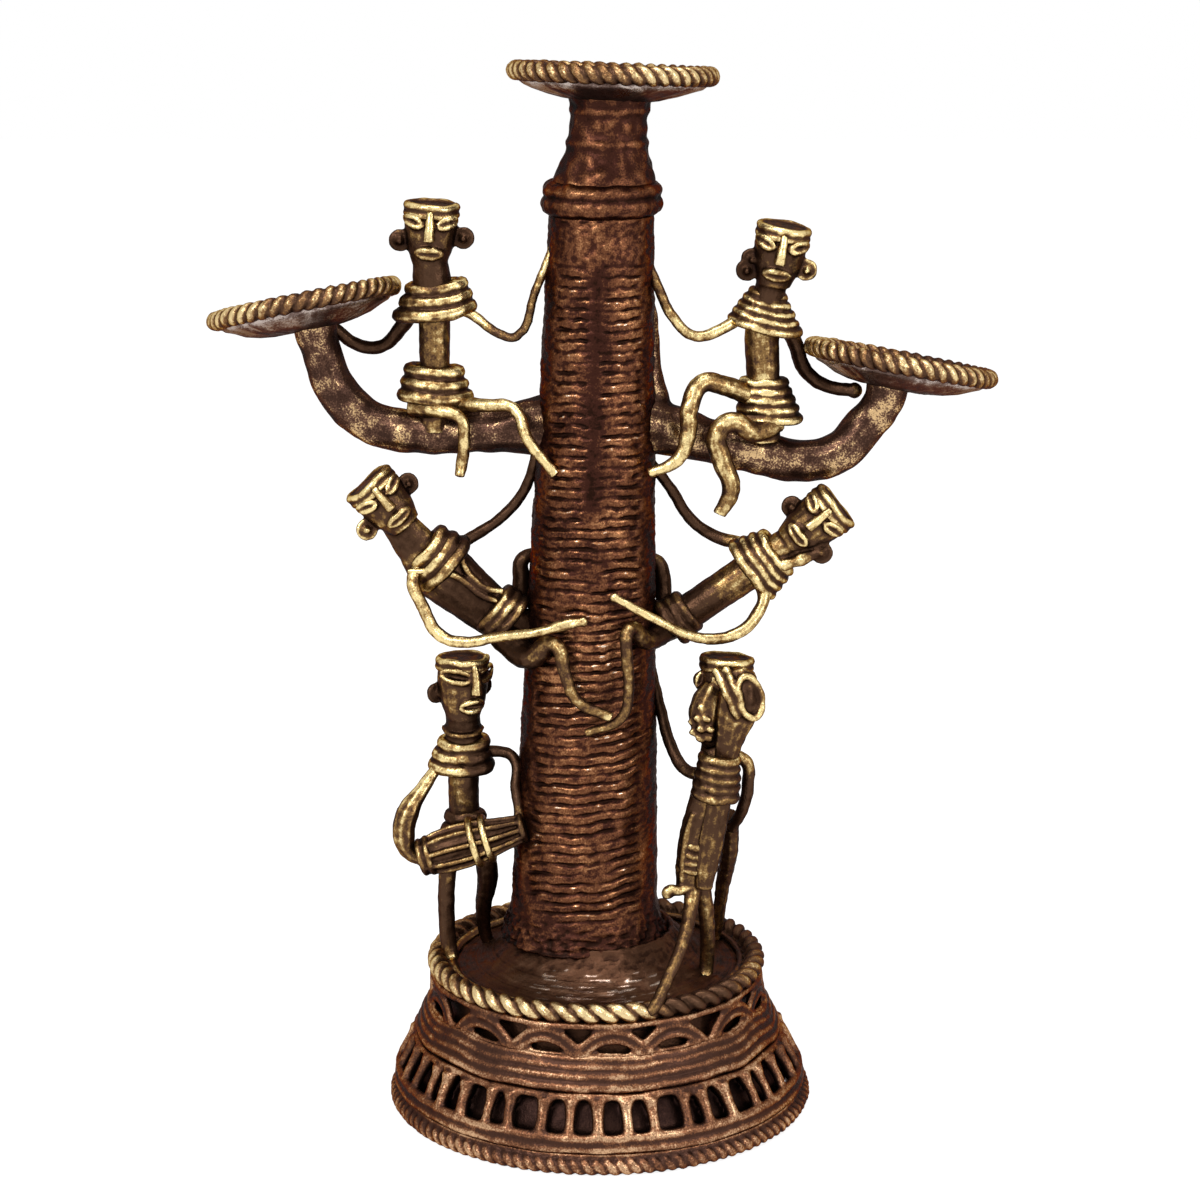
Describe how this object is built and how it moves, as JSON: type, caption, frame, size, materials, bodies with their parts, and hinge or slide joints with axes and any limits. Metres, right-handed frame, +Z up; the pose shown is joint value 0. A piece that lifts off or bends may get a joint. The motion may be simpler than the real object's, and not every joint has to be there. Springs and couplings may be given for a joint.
{
  "type": "candle stand",
  "caption": "Tall cast brass candle stand: ornate round base, palm trunk, curved branches, dished plates with rope rims, and small folk figures sitting, climbing, drumming and playing a horn.",
  "frame": {"origin": "middle of the base's underside, on the table", "axes": "+Z up along the trunk, -Y towards the front with the faces, +X to the right branch"},
  "size_m": [0.2235, 0.1252, 0.3055],
  "materials": {
    "patina_brass": "dark red-brown antique patina over rough cast brass",
    "rubbed_brass": "yellow brass rubbed bright on its high spots, dark patina in the hollows"
  },
  "bodies": {
    "root": {"base_drum": "patina_brass", "base_foot_rope": "patina_brass", "base_pillar_band": "patina_brass", "base_mid_bands": "patina_brass", "base_arch_band": "patina_brass", "trunk": "patina_brass", "trunk_collar": "patina_brass", "top_neck": "patina_brass", "top_plate": "patina_brass", "left_plate": "patina_brass", "right_plate": "patina_brass", "left_branch": "patina_brass", "right_branch": "patina_brass", "horn": "patina_brass", "horn_staff": "patina_brass", "base_rope_rim": "rubbed_brass", "top_plate_rope": "rubbed_brass", "left_plate_rope": "rubbed_brass", "right_plate_rope": "rubbed_brass", "drum": "rubbed_brass", "drum_strap": "rubbed_brass", "upper_left_sitter_body": "rubbed_brass", "upper_left_sitter_headband": "rubbed_brass", "upper_left_sitter_shawl": "rubbed_brass", "upper_left_sitter_loincloth": "rubbed_brass", "upper_left_sitter_trunk_arm": "rubbed_brass", "upper_left_sitter_plate_arm": "rubbed_brass", "upper_right_sitter_body": "rubbed_brass", "upper_right_sitter_headband": "rubbed_brass", "upper_right_sitter_shawl": "rubbed_brass", "upper_right_sitter_loincloth": "rubbed_brass", "upper_right_sitter_trunk_arm": "rubbed_brass", "upper_right_sitter_plate_arm": "rubbed_brass", "left_climber_body": "rubbed_brass", "left_climber_headband": "rubbed_brass", "left_climber_shawl": "rubbed_brass", "left_climber_loincloth": "rubbed_brass", "left_climber_front_arm": "rubbed_brass", "left_climber_back_arm": "rubbed_brass", "right_climber_body": "rubbed_brass", "right_climber_headband": "rubbed_brass", "right_climber_shawl": "rubbed_brass", "right_climber_loincloth": "rubbed_brass", "right_climber_front_arm": "rubbed_brass", "right_climber_back_arm": "rubbed_brass", "drummer_body": "rubbed_brass", "drummer_headband": "rubbed_brass", "drummer_shawl": "rubbed_brass", "drummer_loincloth": "rubbed_brass", "drummer_left_arm": "rubbed_brass", "drummer_right_arm": "rubbed_brass", "horn_player_body": "rubbed_brass", "horn_player_headband": "rubbed_brass", "horn_player_shawl": "rubbed_brass", "horn_player_loincloth": "rubbed_brass", "horn_player_trunk_arm": "rubbed_brass", "horn_player_side_arm": "rubbed_brass"}
  },
  "joints": []
}
